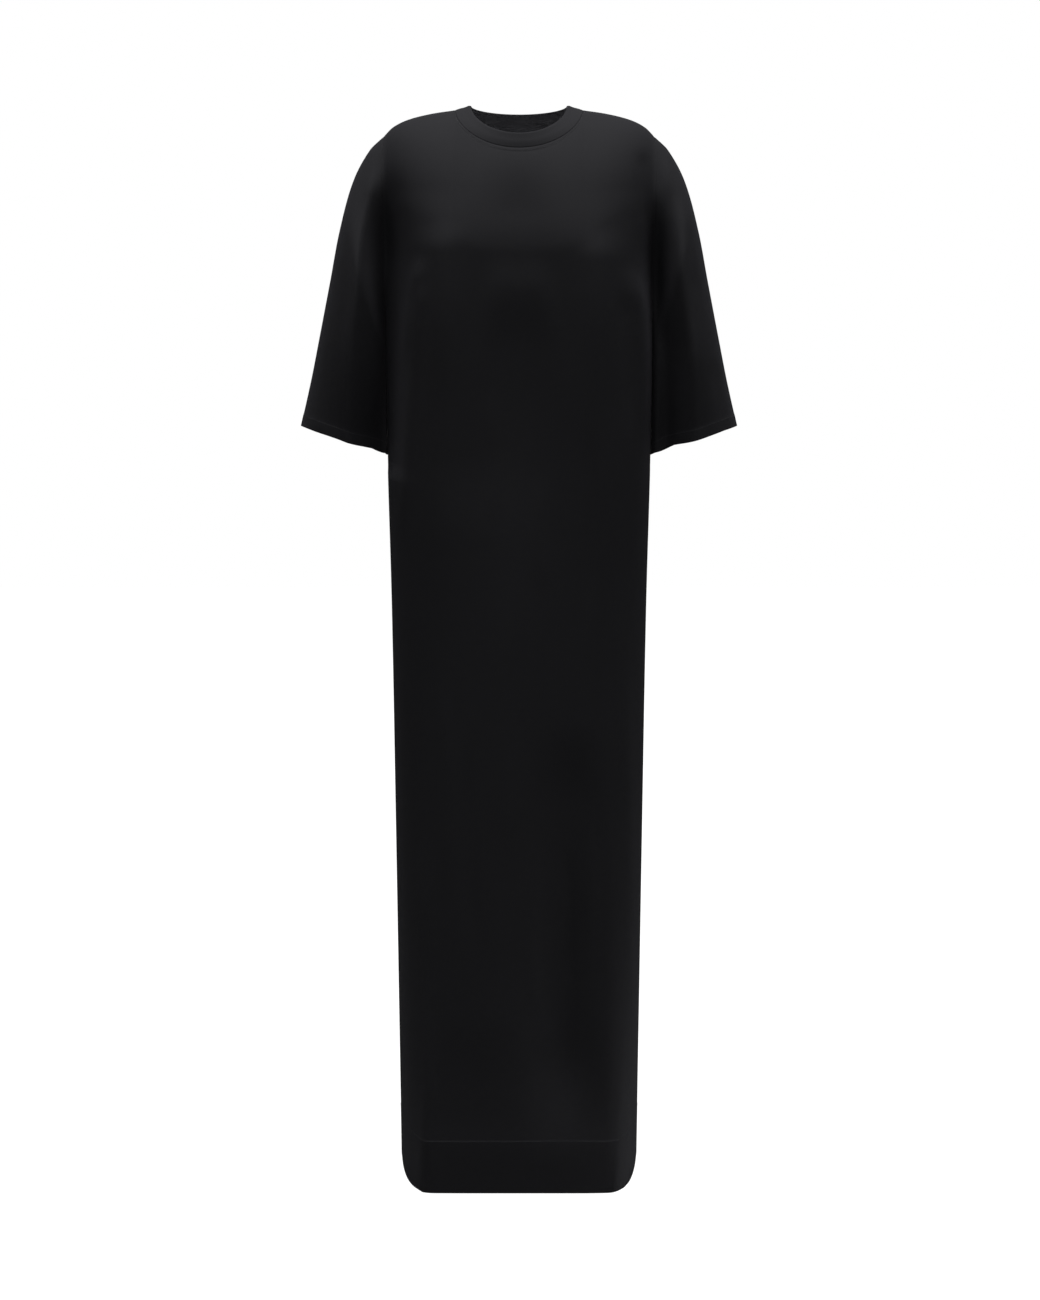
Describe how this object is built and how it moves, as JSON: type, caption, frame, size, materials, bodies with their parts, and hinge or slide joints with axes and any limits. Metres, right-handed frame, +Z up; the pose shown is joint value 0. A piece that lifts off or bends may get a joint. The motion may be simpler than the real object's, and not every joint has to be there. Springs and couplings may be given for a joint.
{
  "type": "t-shirt dress",
  "caption": "Long black jersey t-shirt dress with a round rib neckband and elbow-length sleeves, filled out with no wearer",
  "frame": {"origin": "between the shoulders, level with the sides of the neck, where the wearer's shoulders carry the dress", "axes": "+Z up along the dress, -Y is its front, +X towards the sleeve on the viewer's right"},
  "size_m": [0.562, 0.2529, 1.3998],
  "materials": {
    "jersey": "matt fine single jersey, black",
    "rib": "matt fine rib knit, black"
  },
  "bodies": {
    "root": {"front": "jersey", "back": "jersey", "sleeve_left": "jersey", "sleeve_right": "jersey", "neckband": "rib"}
  },
  "joints": []
}
